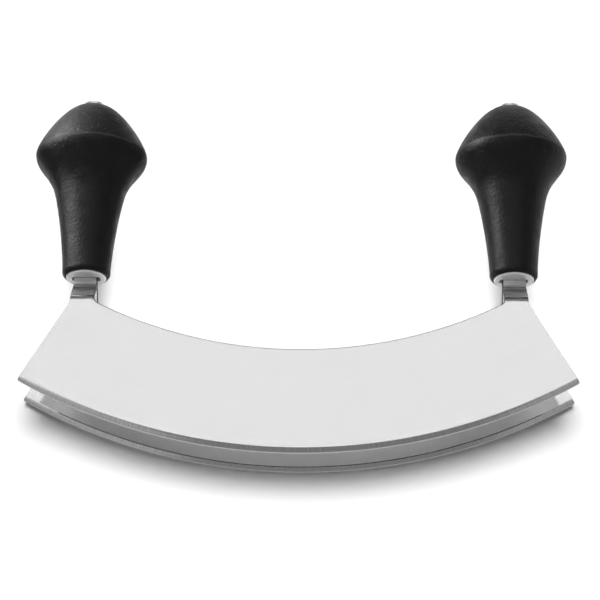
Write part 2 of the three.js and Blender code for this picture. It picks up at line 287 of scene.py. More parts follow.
def lay(name, material, left, right, near, far, height):
    """A flat sheet of the stage from left to right in x and from near to far in y, in metres."""
    corners = [[left, near, height], [right, near, height], [right, far, height], [left, far, height]]
    mesh = bpy.data.meshes.new(name)
    mesh.from_pydata(corners, [], [[0, 1, 2, 3]])
    mesh.materials.append(material)
    sheet = bpy.data.objects.new(name, mesh)
    scene.collection.objects.link(sheet)
    sheet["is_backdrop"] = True
    return sheet


paper, tree = start_material("matt_white_paper")
ray = add_node(tree, "ShaderNodeLightPath")
seen = add_node(tree, "ShaderNodeMath", {
    0: ray.outputs["Is Camera Ray"], 1: ray.outputs["Is Glossy Ray"]}, operation="MAXIMUM")
seen = add_node(tree, "ShaderNodeMath", {
    0: seen.outputs[0], 1: ray.outputs["Is Transmission Ray"]}, operation="MAXIMUM")
glow = add_node(tree, "ShaderNodeMath", {0: seen.outputs[0], 1: FLOOR_GLOW}, operation="MULTIPLY")
shader = add_node(tree, "ShaderNodeBsdfPrincipled", {
    "Base Color": linear(FLOOR_PAPER), "Roughness": 1.0, "Specular IOR Level": 0.0,
    "Emission Color": WHITE, "Emission Strength": glow.outputs[0]})
add_node(tree, "ShaderNodeOutputMaterial", {"Surface": shader.outputs[0]})
lay("floor", paper, -FLOOR_REACH, FLOOR_REACH, -FLOOR_REACH, FLOOR_REACH, -FLOOR_DROP)
print("floor:", 2 * FLOOR_REACH, "m square")

# %% [markdown]
# ## Cards
# Black plastic shows whatever is bright round it. A photographer lays black cards where the knobs would
# mirror white paper, so that their sides stay dark: here behind the knobs, to the left of them and between
# them. Two grey cards beside the blades keep the ends of the gap between them as grey as its middle.
# Only mirrors see the cards: the camera, the shadows and the soft light pass through.

# %% Cards
def matt_card(name, tone):
    """Card of one tone without any gloss."""
    material, tree = start_material(name)
    shader = add_node(tree, "ShaderNodeBsdfDiffuse", {"Color": linear(tone)})
    add_node(tree, "ShaderNodeOutputMaterial", {"Surface": shader.outputs[0]})
    return material


black_card = matt_card("matt_black_card", "#101010")
grey_card = matt_card("matt_grey_card", "#B4B4B4")
# What each card is, and its left, right, near and far side in metres
CARDS = {
    "card_behind": (black_card, -0.07, 0.045, 0.135, 0.6),
    "card_left": (black_card, -0.32, -0.14, -0.06, 0.1),
    "card_between": (black_card, -0.045, 0.03, 0.01, 0.09),
    "card_left_end": (grey_card, -0.14, -0.098, -0.075, -0.005),
    "card_right_end": (grey_card, 0.098, 0.14, -0.075, -0.005)}
for name, setting in CARDS.items():
    card = lay(name, *setting, height=0.0)
    card.visible_camera = card.visible_diffuse = card.visible_shadow = False
print("cards:", len(CARDS))

# %% [markdown]
# ## Joining rings
# Every piece of this knife can be read as a closed ring that travels: the section of a blade travels along
# the crescent, and the section of a knob travels round its axis. So one function covers them all. It takes
# a grid of points, one ring to a column, and joins neighbours by four-sided faces. A turned piece meets
# its own first ring again. A bar gets a flat face at each end.
# The same grid carries a chart: two lengths in millimetres for every point, so that a finish can follow the
# surface, as grinding marks do.

# %% Joining rings
def join_rings(rings, chart, turned, finish):
    """The faces between neighbouring rings, the chart at their corners and the numbers of their finishes.

    The point in a column and row of the grid has the number column x rows + row, and both start again
    after the last one.
    """
    columns, rows = rings.shape[:2]
    strips = columns if turned else columns - 1
    column, row = np.meshgrid(np.arange(strips), np.arange(rows), indexing="ij")
    steps = np.array([[0, 0], [1, 0], [1, 1], [0, 1]])
    corner_column = column[..., None] + steps[:, 0]
    corner_row = row[..., None] + steps[:, 1]
    faces = ((corner_column % columns) * rows + corner_row % rows).reshape(-1, 4).tolist()
    lengths = chart[corner_column, corner_row].reshape(-1, 2)
    finishes = np.broadcast_to(finish, (strips, rows)).ravel()
    if not turned:
        faces += [list(range(rows)), list(range(columns * rows - 1, (columns - 1) * rows - 1, -1))]
        lengths = np.concatenate([lengths, chart[0, :-1], chart[-1, -2::-1]])
        finishes = np.append(finishes, [0, 0])
    return faces, lengths, finishes


sample_faces = join_rings(np.zeros((3, 4, 3)), np.zeros((3, 5, 2)), False, 0)[0]
print("a bar of three rings with four points has", len(sample_faces), "faces")

# %% [markdown]
# ## A skin over rings
# A mesh could be built corner by corner with bmesh. Whole arrays are quicker: from_pydata takes the points
# and faces, and foreach_set the finishes and the chart, which is stored as a UV map.
# Shading is smooth, but sharp across every edge where the surface turns by more than an angle, so that
# curves look round and creases crisp.

# %% A skin over rings
CHART = "surface_millimetres"


def skin(name, rings, chart, turned, materials, finish, sharp_angle):
    """The surface through rings[column, row] (knife millimetres), rows closing on themselves.

    chart[column, row] has one more row than rings, and one more column on a turned piece, so that the
    lengths run on across the seams. finish gives the faces their materials' numbers.
    """
    faces, lengths, finishes = join_rings(rings, chart, turned, finish)
    mesh = bpy.data.meshes.new(name)
    mesh.from_pydata(to_frame(rings.reshape(-1, 3)).tolist(), [], faces)
    mesh.uv_layers.new(name=CHART).data.foreach_set("uv", lengths.astype(np.float32).ravel())
    for material in materials:
        mesh.materials.append(material)
    mesh.polygons.foreach_set("material_index", finishes.astype(np.int32))
    mesh.shade_smooth()
    mesh.set_sharp_from_angle(angle=sharp_angle)
    mesh.update()
    piece = bpy.data.objects.new(name, mesh)
    scene.collection.objects.link(piece)
    return piece


print("every skin carries its chart in the UV map", CHART)

# %% [markdown]
# ## Standing in for the model
# Each dressed piece takes the place of one piece of the measured model, so it has to be the same size. The
# eye could judge that in the viewport. Numbers are surer, so every piece prints its volume, which also shows
# that its faces point outwards, and how far its box is from the model's.

# %% Standing in for the model
def volume(piece):
    """Cubic millimetres inside a closed mesh.

    It is the sum over its triangles of the signed volume that each spans with the origin, a . (b x c) / 6.
    """
    mesh = piece.data
    mesh.calc_loop_triangles()
    points = np.zeros(3 * len(mesh.vertices))
    mesh.vertices.foreach_get("co", points)
    corners = np.zeros(3 * len(mesh.loop_triangles), np.int32)
    mesh.loop_triangles.foreach_get("vertices", corners)
    a, b, c = points.reshape(-1, 3)[corners.reshape(-1, 3)].transpose(1, 0, 2) / MILLIMETRE
    return float(np.einsum("ij,ij->i", a, np.cross(b, c)).sum() / 6)


def dress(piece, node):
    """The piece stands in for a node of the model, which it hides, and prints how far their boxes differ."""
    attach(piece, "root")
    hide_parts(node)
    box = np.array([list(corner) for corner in piece.bound_box])
    low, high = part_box(node)
    off = max(np.abs(box.min(0) - low).max(), np.abs(box.max(0) - high).max()) / MILLIMETRE
    faces = len(piece.data.polygons)
    print(f"{piece.name}: {faces} faces, {volume(piece):.0f} mm3, box off by {off:.2f} mm")


print("the model's front blade has", round(volume(frame["nodes"]["front_blade"])), "mm3")

# %% [markdown]
# ## Blade outline
# Each blade is one stamping: a crescent with square-cut ends and a strap rising from each end. Seen from the
# front its outer side is the cutting edge, the end, a fillet and the strap; its inner side is the
# spine, a smaller fillet and the strap again. All of these are arcs and straight lines, so an outline
# drawn by hand isn't needed: two functions give their points, and a third joins them.

# %% Blade outline
EDGE_RADIUS = 225.0
EDGE_CHORD = 226.6
BLADE_HEIGHT = 44.5
SPINE_RADIUS = 179.0
HANDLE_INSET = 24.8
STRAP_WIDTH = 9.7
DOWN = -math.pi / 2

handle_x = EDGE_CHORD / 2 - HANDLE_INSET
strap_inner = handle_x - STRAP_WIDTH / 2
strap_outer = handle_x + STRAP_WIDTH / 2
tip_angle = math.asin(EDGE_CHORD / 2 / EDGE_RADIUS)
edge_centre = np.array([0.0, EDGE_RADIUS])
spine_centre = np.array([0.0, BLADE_HEIGHT + SPINE_RADIUS])


def arc(centre, radius, start, end, count):
    """Points at equal angles on a circle, after the start, and their directions out from its centre."""
    angle = np.linspace(start, end, count + 1)[1:]
    outward = np.stack([np.cos(angle), np.sin(angle)], -1)
    return centre + radius * outward, outward


def line(start, end, count, inward):
    """Points at equal steps on a straight line, after the start, each with the same inward direction."""
    share = np.linspace(0, 1, count + 1)[1:, None]
    return (1 - share) * start + share * end, np.tile(inward, (count, 1)).astype(float)


def walk(*stretches):
    """Joins stretches of (points, directions) end to end."""
    return tuple(np.concatenate(parts) for parts in zip(*stretches))


print("handles at", handle_x, "mm, tips at", round(math.degrees(tip_angle), 2), "degrees")

# %% [markdown]
# ## Bends in the straps
# Above the spine the strap leans inwards at 48 degrees, then straightens again, so that the two straps lie
# back to back in the handle. It is an S of two small arcs with a straight between.
# Two Simple Deform modifiers could bend a flat blade. A formula puts both bends at exact heights.
# The sheet's middle is a function of height alone: y grows by R (1 - cos lean) on the first arc, by the
# tangent of the lean on the straight, and by R (cos lean - cos 48) on the second. The two faces lie half a
# thickness to either side, square to the lean.

# %% Bends in the straps
BEND_RADIUS = 3.0
BEND_ANGLE = math.radians(48)
BEND_SETBACK = 0.3
FIT_GAP = 0.3
STRAIGHT_BELOW_FERRULE = 2.1
FERRULE_PROUD = 0.4
TANG_LENGTH = 33.0

blade_plane = BLADE_SPACING / 2
strap_plane = (BLADE_THICKNESS + FIT_GAP) / 2
bend_shift = blade_plane - strap_plane
bend_start = spine_centre[1] - math.sqrt(SPINE_RADIUS ** 2 - strap_inner ** 2) + BEND_SETBACK
bend_straight = (bend_shift - 2 * BEND_RADIUS * (1 - math.cos(BEND_ANGLE))) / math.tan(BEND_ANGLE)
bend_end = bend_start + 2 * BEND_RADIUS * math.sin(BEND_ANGLE) + bend_straight
grip_foot = bend_end + STRAIGHT_BELOW_FERRULE + FERRULE_PROUD
tang_end = grip_foot + TANG_LENGTH


def bent_sheet(x, z, offset):
    """Points of the bent sheet above (x, z) of the outline, offset from its middle towards the rear."""
    steepest = math.sin(BEND_ANGLE)
    lower_lean = np.arcsin(np.clip((z - bend_start) / BEND_RADIUS, 0, steepest))
    upper_lean = np.arcsin(np.clip((bend_end - z) / BEND_RADIUS, 0, steepest))
    climb = np.clip(z - bend_start - BEND_RADIUS * steepest, 0, bend_straight)
    first_arc = BEND_RADIUS * (1 - np.cos(lower_lean))
    second_arc = BEND_RADIUS * (np.cos(upper_lean) - math.cos(BEND_ANGLE))
    middle = first_arc + climb * math.tan(BEND_ANGLE) + second_arc - blade_plane
    lean = np.minimum(lower_lean, upper_lean)
    return np.stack([x, middle + offset * np.cos(lean), z - offset * np.sin(lean)], -1)


print("straps bend from", round(bend_start, 1), "to", round(bend_end, 1), "mm")
print("grips start at", round(grip_foot, 1), "mm")

# %% [markdown]
# ## Two sides in step
# The outline could be filled as one big face, but then no line of the mesh would follow the edge, and the
# bends would have nothing to bend. Here its outer and inner side are walked in step, from the middle to the
# end of the strap, with the same number of points. Joining each outer point to its inner partner covers
# the blade with strips that fan out at the tip.
# The tip itself is a little round, as a ground corner is. Each point also knows its inward direction, for
# the bevel and the broken edges.

# %% Two sides in step
BEVEL_HEIGHT = 2.4
TIP_ROUND = 0.9
# How far past the bevel the plain end starts
END_START = 0.25
STRAP_INNER_FILLET = 2.6
STRAP_OUTER_FILLET = 6.0
# The share of the spine that is walked along with the cutting edge
SPINE_SHARE = 0.88
EDGE_COLUMNS = 120
TIP_COLUMNS = 8
END_COLUMNS = 16
FILLET_COLUMNS = 14
NECK_COLUMNS = 4
BEND_COLUMNS = 48
TANG_COLUMNS = 5


def half_outline():
    """Outer and inner side of the right half, in step, as points and inward directions.

    The centres of the spine and of both fillets lie outside the blade, so out from them is into the blade.
    """
    outer_z = EDGE_RADIUS - strap_outer / math.tan(tip_angle) + STRAP_OUTER_FILLET * math.tan(tip_angle / 2)
    outer_turn = np.array([strap_outer + STRAP_OUTER_FILLET, outer_z])
    inner_x = strap_inner - STRAP_INNER_FILLET
    inner_z = spine_centre[1] - math.sqrt((SPINE_RADIUS - STRAP_INNER_FILLET) ** 2 - inner_x ** 2)
    inner_turn = np.array([inner_x, inner_z])
    spine_end = math.atan2(inner_z - spine_centre[1], inner_x)
    spine_split = DOWN + SPINE_SHARE * (spine_end - DOWN)

    round_radius = EDGE_RADIUS - TIP_ROUND
    round_angle = tip_angle - math.asin(TIP_ROUND / round_radius)
    round_middle = edge_centre + round_radius * np.array([math.sin(round_angle), -math.cos(round_angle)])
    edge = arc(edge_centre, EDGE_RADIUS, DOWN, DOWN + round_angle, EDGE_COLUMNS)[0]
    tip = arc(round_middle, TIP_ROUND, DOWN + round_angle, tip_angle, TIP_COLUMNS)[0]
    ground = np.concatenate([edge, tip])
    to_centre = (edge_centre - ground) / np.linalg.norm(edge_centre - ground, axis=1, keepdims=True)
    past_bevel = edge_centre - (EDGE_RADIUS - BEVEL_HEIGHT - END_START) * to_centre[-1]
    off_end = np.array([-math.cos(tip_angle), -math.sin(tip_angle)])
    fillet_start = outer_turn + STRAP_OUTER_FILLET * off_end
    outer = walk(
        (ground, to_centre),
        line(past_bevel, past_bevel, 1, off_end),
        line(past_bevel, fillet_start, END_COLUMNS - 1, off_end),
        arc(outer_turn, STRAP_OUTER_FILLET, math.pi + tip_angle, math.pi, FILLET_COLUMNS),
        line([strap_outer, outer_z], [strap_outer, inner_z], NECK_COLUMNS, [-1, 0]),
        line([strap_outer, inner_z], [strap_outer, bend_end], BEND_COLUMNS, [-1, 0]),
        line([strap_outer, bend_end], [strap_outer, tang_end], TANG_COLUMNS, [-1, 0]))
    inner = walk(
        arc(spine_centre, SPINE_RADIUS, DOWN, spine_split, EDGE_COLUMNS + TIP_COLUMNS),
        arc(spine_centre, SPINE_RADIUS, spine_split, spine_end, END_COLUMNS),
        arc(inner_turn, STRAP_INNER_FILLET, spine_end, 0, FILLET_COLUMNS + NECK_COLUMNS),
        line([strap_inner, inner_z], [strap_inner, bend_end], BEND_COLUMNS, [1, 0]),
        line([strap_inner, bend_end], [strap_inner, tang_end], TANG_COLUMNS, [1, 0]))
    return outer, inner


outer_side, inner_side = half_outline()
print("half a blade:", len(outer_side[0]), "points on each side")

# %% [markdown]
# ## Blade surface
# A column of the grid is the blade's section: front face, spine wall, rear face, and back over the edge.
# Along the cutting edge the outermost step is the bevel, ground 2.4 mm up each side to a thin land, and a
# little crowned by the wheel. Everywhere else it is only the broken burr of a stamped edge, which catches
# the light along a real blade's outline: a third of a millimetre along the spine and the straps' inner
# sides, and hardly any on the outer sides.
# Subdivision would round the crease of the bevel, so the grid has the crease as one of its lines, and
# shading turns sharp wherever faces meet at more than a few degrees.

# %% Blade surface
EDGE_LAND = 0.15
BURR_BREAK = 0.36
END_BREAK = 0.06
# Rows of the bevel, as shares of the way from the land up to the crease
BEVEL_STEPS = np.array([0.0, 0.14, 0.4, 0.65, 0.86])
BEVEL_CROWN = 0.2
FACE_ROWS = 10
CREASE_ANGLE = math.radians(9)
ground_columns = EDGE_COLUMNS + TIP_COLUMNS


def blade_rings(outer, outer_in, inner, inner_in):
    """The front blade as rings, with its chart: length along the edge, and distance in from it.

    A point of a side moves in along its direction to its crease, and rows lie at shares of the way from
    side to crease and from crease to crease. Half the thickness grows from the land to the crease by
    share x (1 + crown x (1 - share)).
    """
    on_edge = np.arange(len(outer)) < ground_columns
    below_edge = EDGE_RADIUS - np.linalg.norm(outer - edge_centre, axis=1)
    inset = np.where(on_edge, BEVEL_HEIGHT - below_edge, END_BREAK)[:, None]
    outer_crease = outer + inset * outer_in
    outer_crease[ground_columns - 1] += END_BREAK * outer_in[ground_columns]
    share = np.linspace(0, 1, TIP_COLUMNS + 1)[:, None]
    round_start, round_end = outer_crease[EDGE_COLUMNS - 1], outer_crease[ground_columns - 1]
    outer_crease[EDGE_COLUMNS - 1:ground_columns] = (1 - share) * round_start + share * round_end
    inner_crease = inner + BURR_BREAK * inner_in
    up = BEVEL_STEPS[:, None]
    bevel = (1 - up) * outer[:, None] + up * outer_crease[:, None]
    share = np.linspace(0, 1, FACE_ROWS)[:, None]
    across = (1 - share) * outer_crease[:, None] + share * inner_crease[:, None]
    half = np.concatenate([bevel, across, inner[:, None]], 1)
    flat = np.concatenate([half[::-1] * [-1, 1], half])

    depth = np.full(half.shape[:2], BLADE_THICKNESS / 2)
    grind_slope = (BLADE_THICKNESS - EDGE_LAND) / 2 / BEVEL_HEIGHT
    ground_depth = EDGE_LAND / 2 + grind_slope * below_edge
    thinned = np.where(on_edge, ground_depth, BLADE_THICKNESS / 2 - END_BREAK)[:, None]
    crowned = BEVEL_STEPS * (1 + BEVEL_CROWN * (1 - BEVEL_STEPS))
    depth[:, :len(BEVEL_STEPS)] = thinned + (BLADE_THICKNESS / 2 - thinned) * crowned
    depth[:, -1] = BLADE_THICKNESS / 2 - BURR_BREAK
    depth = np.concatenate([depth[::-1], depth])
    x, z = np.concatenate([flat, flat[:, ::-1]], 1).transpose(2, 0, 1)
    rings = bent_sheet(x, z, np.concatenate([-depth, depth[:, ::-1]], 1))

    angle, radius = np.arctan2(x, EDGE_RADIUS - z), np.hypot(x, EDGE_RADIUS - z)
    chart = np.stack([EDGE_RADIUS * angle, EDGE_RADIUS - radius], -1)
    return rings, np.concatenate([chart, chart[:, :1]], 1)


blade_grid, blade_chart = blade_rings(*outer_side, *inner_side)
print("a blade's grid:", blade_grid.shape[0], "rings of", blade_grid.shape[1], "points")

# %% [markdown]
# ## Stainless steel
# One steel has six finishes on the blades. The outer faces were polished almost to a mirror, along their
# length; what is left of the polishing lines mostly varies the gloss. The bevel was ground on a wheel across
# the edge: its marks run straight up from the edge and streak the light. The stamped edges were only
# tumbled, so they are dull, and their colour is far darker than steel: painted shade, which draws a dark
# line round the blade. The straps were polished before they were bent, and the bending tool left ripples
# across them. The front blade's inner face is satin, so that the polished one behind it mirrors an even
# grey. A last pass on the hone leaves a fine light line along the edge.
# A picture of brushed metal wouldn't follow the curve of the edge. The chart does: its first length runs
# along the edge, its second up from it. The straps' ripples lie along x, so those use Object coordinates.
# Real polishing lines are far finer than a picture shows, so they are drawn a third of a millimetre apart.

# %% Stainless steel
# Most values of a noise lie between these
NOISE_LOW = 0.3
NOISE_HIGH = 0.7
MARK_DETAIL = 3.0


def lined_steel(name, shade, light, size, gloss, depth, on_chart=True):
    """Steel with marks of a size and depth in millimetres, on the chart or in space.

    The marks run from shade and the second gloss in their hollows to light and the first gloss on top.
    """
    material, tree = start_material(name)
    if on_chart:
        place, unit = add_node(tree, "ShaderNodeUVMap", uv_map=CHART).outputs[0], 1.0
    else:
        place, unit = add_node(tree, "ShaderNodeTexCoord").outputs["Object"], MILLIMETRE
    scale = [1 / (side * unit) for side in size]
    lengths = add_node(tree, "ShaderNodeMapping", {"Vector": place, "Scale": scale})
    marks = add_node(tree, "ShaderNodeTexNoise", {
        "Vector": lengths.outputs[0], "Scale": 1.0, "Detail": MARK_DETAIL})
    share = add_node(tree, "ShaderNodeMapRange", {
        "Value": marks.outputs[0], "From Min": NOISE_LOW, "From Max": NOISE_HIGH})
    colour = add_node(tree, "ShaderNodeMix", {
        "Factor": share.outputs[0], "A": linear(shade), "B": linear(light)}, data_type="RGBA")
    roughness = add_node(tree, "ShaderNodeMapRange", {
        "Value": share.outputs[0], "To Min": gloss[1], "To Max": gloss[0]})
    bump = add_node(tree, "ShaderNodeBump", {
        "Height": marks.outputs[0], "Strength": 1.0, "Distance": depth * MILLIMETRE})
    shader = add_node(tree, "ShaderNodeBsdfPrincipled", {
        "Base Color": colour.outputs["Result"], "Metallic": 1.0,
        "Roughness": roughness.outputs[0], "Normal": bump.outputs[0]})
    add_node(tree, "ShaderNodeOutputMaterial", {"Surface": shader.outputs[0]})
    return material


blade_steels = [
    lined_steel("stainless_sheet_polished", "#E4E4E4", "#E6E6E6", (40.0, 0.35, 1.0), (0.1, 0.12), 0.0002),
    lined_steel("stainless_edge_ground", "#CACACA", "#E8E8E8", (0.5, 9.0, 1.0), (0.11, 0.15), 0.0009),
    # The stamped edges are dull, and their dark colour is painted shade: a dark line along the outline
    lined_steel("stainless_edge_stamped_painted_shade", "#404040", "#5E5E5D", (1.5, 0.4, 1.0), (0.42, 0.55), 0.004),
    lined_steel("stainless_strap_bent", "#B0B0B0", "#E8E8E8", (9.0, 1.5, 1.5), (0.06, 0.14), 0.1, False),
    lined_steel("stainless_sheet_satin", "#F2F2F2", "#F4F4F4", (40.0, 0.35, 1.0), (0.3, 0.36), 0.0002),
    lined_steel("stainless_edge_honed", "#E6E6E6", "#F0F0F0", (6.0, 0.3, 1.0), (0.4, 0.5), 0.0002)]
print("steels:", [steel.name for steel in blade_steels])

# %% [markdown]
# ## Where each finish lies
# Painting faces by hand in Edit Mode would do for one blade, but not for a grid that may change. Here the
# finish is a number for every face of the grid: by row from the bevel to the spine, by height above the
# lower bend for the straps, and by column for what belongs to the cutting edge alone.
# Later lines overrule earlier ones. The last paints shade along the inner crease of the bevel: the dark
# stamped finish draws a thin dark line there, which stops short of the tips.

# %% Where each finish lies
POLISHED, GROUND, STAMPED_WITH_PAINTED_SHADE, BENT, SATIN, HONED = range(6)
# How many columns on each side of the middle carry the painted shade along the inner crease
PAINTED_CREASE_SHADE_COLUMNS = 105

strips, rows = blade_grid.shape[0] - 1, blade_grid.shape[1]
bevel_rows, spine_row = len(BEVEL_STEPS), rows // 2 - 1
on_edge = slice(strips // 2 - ground_columns, strips // 2 + ground_columns)
on_painted_crease_shade = slice(strips // 2 - PAINTED_CREASE_SHADE_COLUMNS, strips // 2 + PAINTED_CREASE_SHADE_COLUMNS)
blade_finish = np.full((strips, rows), POLISHED)
blade_finish[:, rows // 2:] = SATIN
blade_finish[blade_grid[:-1, :, 2] > bend_start] = BENT
# The spine's middle rows and the edges round the outline get the stamped finish, whose dark colour paints
# shade there
blade_finish[:, spine_row - 1:spine_row + 2] = STAMPED_WITH_PAINTED_SHADE
blade_finish[:, :bevel_rows] = blade_finish[:, -bevel_rows - 1:] = STAMPED_WITH_PAINTED_SHADE
blade_finish[on_edge, :bevel_rows] = blade_finish[on_edge, -bevel_rows - 1:] = GROUND
blade_finish[on_edge, [0, -1, -2]] = HONED
# A thin dark line of painted shade along the bevel's inner crease, in the stamped finish
blade_finish[on_painted_crease_shade, -bevel_rows - 1] = STAMPED_WITH_PAINTED_SHADE
print("faces of each finish:", np.bincount(blade_finish.ravel()).tolist())

# %% [markdown]
# ## Two blades
# The rear blade is the same stamping turned half a turn about the upright axis, so its grid is the front
# one's with x and y reversed. That is a turn, not a mirror image, so its faces still point outwards. Its
# inner face is the polished one.
# A long soft shadow under the handles would draw the eye off the steel. A photographer would bounce it away
# with a reflector. In Blender a lamp can be told which pieces block it: for the bank and the wide softbox
# those are the blades alone.

# %% Two blades
shadow_casters = bpy.data.collections.new("shadow_casters")
for node, turn, inside in (("front_blade", [1, 1, 1], SATIN), ("rear_blade", [-1, -1, 1], POLISHED)):
    finish = np.where(blade_finish == SATIN, inside, blade_finish)
    blade = skin("dressed_" + node, blade_grid * turn, blade_chart, False, blade_steels, finish, CREASE_ANGLE)
    dress(blade, node)
    shadow_casters.objects.link(blade)
for lamp in (bank, panel):
    lamp.light_linking.blocker_collection = shadow_casters

# %% [markdown]
# ## Outside of a grip
# The knobs are moulded in black plastic and are round, so half of a lengthwise section says it all: a rounded
# foot, a stem that widens, a flare out to the bulb, and a dome up to the crown. It could be traced point by
# point. Instead each of the three long curves is a cubic Bezier curve, given by its ends, its directions
# there and how far it holds to them, and those few numbers can be tuned by eye.

# %% Outside of a grip
GRIP_LENGTH = 78.7
FERRULE_DIAMETER = 16.6
FOOT_RIM = 1.4
FOOT_ROUND = 2.4
NECK_DIAMETER = 28.8
NECK_HEIGHT = 37.0
NECK_FLARE = math.atan(0.225)
BULB_DIAMETER = 46.8
BULB_HEIGHT = 55.8
CAP_DIAMETER = 8.8
CROWN_RIM = 0.5
CROWN_SLOPE = math.atan(0.22)
STEM_PULLS = (6.4, 11.6)
FLARE_PULLS = (11.0, 5.9)
DOME_PULLS = (2.6, 8.5)
CURVE_STEPS = 40
FOOT_STEPS = 8

foot_radius = FERRULE_DIAMETER / 2 + FIT_GAP + FOOT_RIM
foot_middle = np.array([foot_radius - FOOT_ROUND, FOOT_ROUND])
foot_start = DOWN + math.asin((foot_radius - FOOT_RIM - foot_middle[0]) / FOOT_ROUND)


def curve(start, start_lean, end, end_lean, pulls):
    """A cubic Bezier curve after its start, leaving and reaching its ends at a lean from upright."""
    leave = start + pulls[0] * np.array([math.sin(start_lean), math.cos(start_lean)])
    reach = end - pulls[1] * np.array([math.sin(end_lean), math.cos(end_lean)])
    t = np.linspace(0, 1, CURVE_STEPS + 1)[1:, None]
    return (1 - t) ** 3 * start + 3 * t * (1 - t) ** 2 * leave + 3 * t ** 2 * (1 - t) * reach + t ** 3 * end


def grip_outside():
    """Points of (radius, height above the foot) on the foot's arc and the curves of stem, flare and dome."""
    stem_start = np.array([foot_radius, FOOT_ROUND])
    neck = np.array([NECK_DIAMETER / 2, NECK_HEIGHT])
    bulb = np.array([BULB_DIAMETER / 2, BULB_HEIGHT])
    crown = np.array([CAP_DIAMETER / 2 + FIT_GAP + CROWN_RIM, GRIP_LENGTH])
    return np.concatenate([
        arc(foot_middle, FOOT_ROUND, foot_start, 0, FOOT_STEPS)[0],
        curve(stem_start, 0, neck, NECK_FLARE, STEM_PULLS),
        curve(neck, NECK_FLARE, bulb, 0, FLARE_PULLS),
        curve(bulb, 0, crown, CROWN_SLOPE - math.pi / 2, DOME_PULLS)])


outside = grip_outside()
print("outside of a grip:", len(outside), "points, widest at", round(2 * outside[:, 0].max(), 1), "mm")

# %% [markdown]
# ## Seats inside a grip
# Inside, the grip steps down from the seat of the cap through those of the rod and the ferrule, each a
# fitting gap wider than what it holds. Nobody sees them, and a solid knob would look the same, but it would
# run through the rod and the straps. With the seats the section is a closed ring, which a turn about the
# axis makes into a solid.

# %% Seats inside a grip
FLANGE_TOP = 1.2
SPIGOT_TOP = 4.7
SPIGOT_RADIUS = 6.87
ROD_RADIUS = 5.12
ROD_SHOULDER = 38.3
SHANK_RADIUS = 2.5
CAP_SEAT = 78.3


def grip_seats():
    """Corners of (radius, height above the foot) down the inside, from the crown to the start of the foot."""
    cap_bore, flange_bore = CAP_DIAMETER / 2 + FIT_GAP, FERRULE_DIAMETER / 2 + FIT_GAP
    shank_bore, rod_bore, spigot_bore = SHANK_RADIUS + FIT_GAP, ROD_RADIUS + FIT_GAP, SPIGOT_RADIUS + FIT_GAP
    cap_floor, shoulder = CAP_SEAT - FIT_GAP, ROD_SHOULDER + FIT_GAP
    spigot_roof, flange_roof = SPIGOT_TOP + FIT_GAP, FLANGE_TOP + FIT_GAP
    return [
        [cap_bore, GRIP_LENGTH], [cap_bore, cap_floor], [shank_bore, cap_floor], [shank_bore, shoulder],
        [rod_bore, shoulder], [rod_bore, spigot_roof], [spigot_bore, spigot_roof], [spigot_bore, flange_roof],
        [flange_bore, flange_roof], [flange_bore, FOOT_ROUND * (1 + math.sin(foot_start))]]


grip_section = np.concatenate([outside, grip_seats()])
print("a grip's whole section:", len(grip_section), "points")

# %% [markdown]
# ## Turning a profile
# A Screw modifier turns a profile too, but it gives a finish no lengths in millimetres to follow. Here each
# point is turned as (radius x cos angle, radius x sin angle, height), and the chart holds the way round at
# the widest radius and the way along the profile from its first point.

# %% Turning a profile
TURN_STEPS = 160


def profile_run(profile):
    """The way along a closed profile to each of its points, and at last back to the first."""
    step = np.linalg.norm(np.diff(profile, axis=0, append=profile[:1]), axis=1)
    return np.append(0, np.cumsum(step))


def turned_rings(profile, side):
    """A closed profile of (radius, height above the grip's foot) turned about a handle, with its chart.

    side is -1 for the left handle and 1 for the right one.
    """
    angle = np.linspace(0, 2 * math.pi, TURN_STEPS + 1)
    radius, height = profile.T
    x = side * handle_x + np.cos(angle)[:-1, None] * radius
    y = np.sin(angle)[:-1, None] * radius
    rings = np.stack([x, y, np.broadcast_to(grip_foot + height, x.shape)], -1)
    chart = np.stack(np.broadcast_arrays(angle[:, None] * radius.max(), profile_run(profile)), -1)
    return rings, chart


bulb_run = profile_run(grip_section)[grip_section[:, 0].argmax()]
print("the way from a grip's foot to the widest point of its bulb:", round(bulb_run, 1), "mm")

# %% [markdown]
# ## Painted highlight and pits on the plastic
# A paler ring that wavers round the widest part of the bulb is a painted highlight. The dome has small
# pits, mostly in clusters. Both could be painted on an image, which would stretch over the dome. Here the
# chart says how far up the profile a point is, and noise does the wavering and the pits. One function gives
# the ring as a share from 0 to 1, the other gives the height of the surface.

# %% Painted highlight and pits on the plastic
# How much the clouds gather the pits, and where in that mixture a pit has its rim and its floor
PIT_CLUSTER = 0.5
PIT_RIM = 0.88
PIT_FLOOR = 1.04
# A pit's depth in grain depths, the millimetres over which pits come in and their share before that
PIT_DEPTH = 0.9
PIT_FADE = 10.0
PIT_LEAST = 0.2
# Half the width of the painted highlight ring, and how far the wave sways it, in millimetres
HIGHLIGHT_RING_REACH = 0.75
HIGHLIGHT_RING_SWAY = 1.8


def painted_highlight_ring(tree, run, wave):
    """Painted highlight, 1 on the bulb's widest ring as the wave sways it along the profile, 0 past its
    reach.
    """
    swayed = add_node(tree, "ShaderNodeMath", {0: wave, 1: HIGHLIGHT_RING_SWAY, 2: run}, operation="MULTIPLY_ADD")
    past = add_node(tree, "ShaderNodeMath", {
        0: swayed.outputs[0], 1: bulb_run + HIGHLIGHT_RING_SWAY / 2}, operation="SUBTRACT")
    away = add_node(tree, "ShaderNodeMath", {0: past.outputs[0]}, operation="ABSOLUTE")
    ring_highlight = add_node(tree, "ShaderNodeMapRange", {
        "Value": away.outputs[0], "From Max": HIGHLIGHT_RING_REACH, "To Min": 1.0, "To Max": 0.0})
    return ring_highlight.outputs[0]


